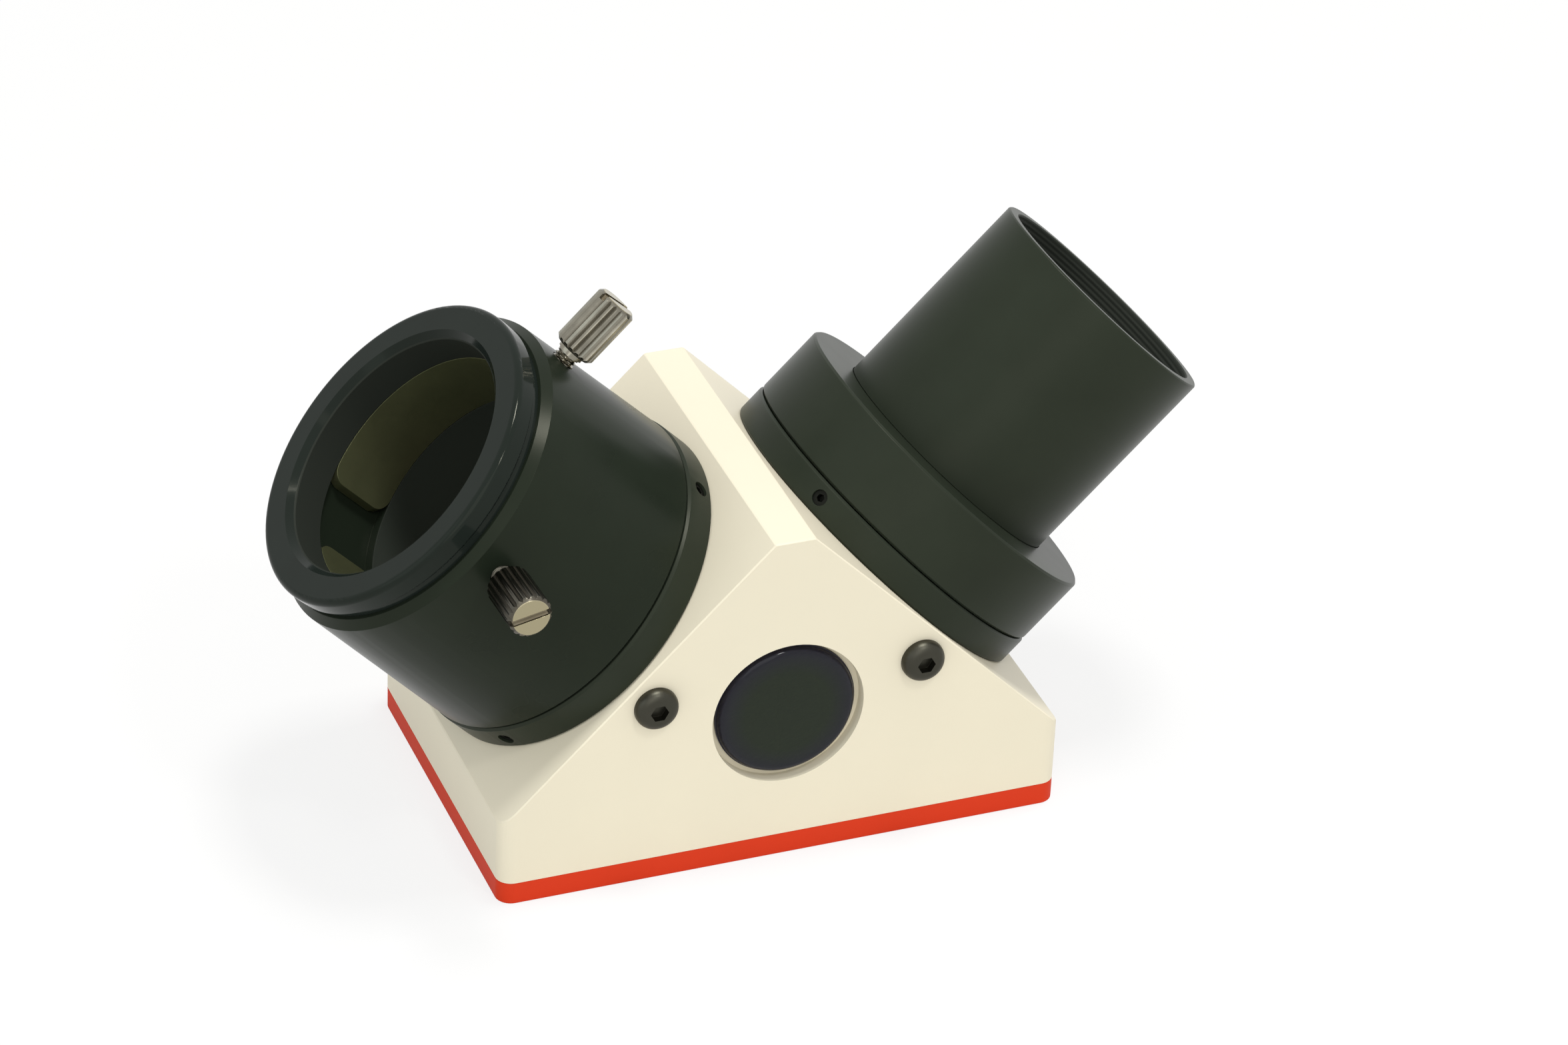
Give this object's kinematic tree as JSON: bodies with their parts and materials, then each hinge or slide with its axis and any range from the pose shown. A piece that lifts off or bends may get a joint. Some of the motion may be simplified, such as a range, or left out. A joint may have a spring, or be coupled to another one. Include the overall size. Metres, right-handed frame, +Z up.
{
  "type": "star diagonal with solar blocking filter",
  "caption": "Right-angle telescope diagonal with flat mirror, hydrogen-alpha blocking filter, clamped eyepiece holder and push-in nosepiece.",
  "frame": {"origin": "middle of the base plate's underside", "axes": "+X along the base plate towards the nosepiece, +Y away from the badge side, +Z up from the plate"},
  "size_m": [0.1171, 0.0546, 0.0692],
  "materials": {
    "housing_paint": "cream-white satin powder coat on milled aluminium",
    "plate_paint": "red satin coat on aluminium",
    "black_satin": "satin black anodised",
    "black_gloss": "polished black anodised",
    "black_steel": "black oxide",
    "nickel": "nickel plate",
    "ring_brass": "turned brass",
    "mirror_glass": "dielectric coated",
    "pad_rubber": "closed-cell rubber",
    "badge_black": "printed black disc, bare",
    "badge_dome": "clear cast resin dome",
    "filter_glass": "coated blocking filter",
    "trim_glass": "coated trim filter"
  },
  "bodies": {
    "housing": {"housing": "housing_paint", "base_plate": "plate_paint", "base_plate_screws": "black_steel", "mirror": "mirror_glass", "mirror_pad": "pad_rubber", "badge_disc": "badge_black", "badge_dome": "badge_dome", "side_lock_screws": "black_steel", "eyepiece_port_ring": "black_satin", "nose_port_ring": "black_satin", "eyepiece_ring_set_screws": "black_steel", "nose_ring_set_screws": "black_steel", "blocking_filter_cell": "black_satin", "blocking_filter": "filter_glass", "blocking_filter_ring": "black_satin"},
    "eyepiece_holder": {"eyepiece_barrel": "black_satin", "compression_ring": "ring_brass", "eyepiece_rim": "black_gloss"},
    "thumbscrew_upper": {"thumbscrew_upper": "nickel"},
    "thumbscrew_lower": {"thumbscrew_lower": "nickel"},
    "nosepiece": {"nose_collar": "black_satin", "nose_tube": "black_satin", "trim_filter": "trim_glass", "trim_filter_ring": "black_satin"}
  },
  "joints": [
    {"name": "eyepiece_holder_turn", "type": "hinge", "parent": "housing", "child": "eyepiece_holder", "pos_m": [-0.01947, 0, 0.02832], "axis": [-0.7071, 0, 0.7071], "continuous": true},
    {"name": "nosepiece_turn", "type": "hinge", "parent": "housing", "child": "nosepiece", "pos_m": [0.01947, 0, 0.02832], "axis": [0.7071, 0, 0.7071], "continuous": true},
    {"name": "thumbscrew_upper_travel", "type": "slide", "parent": "eyepiece_holder", "child": "thumbscrew_upper", "axis": [0.7071, 0, 0.7071], "range_m": [-0.00027, 0.004]},
    {"name": "thumbscrew_lower_travel", "type": "slide", "parent": "eyepiece_holder", "child": "thumbscrew_lower", "axis": [0.0308, -0.999, 0.0308], "range_m": [-0.00027, 0.004]}
  ]
}
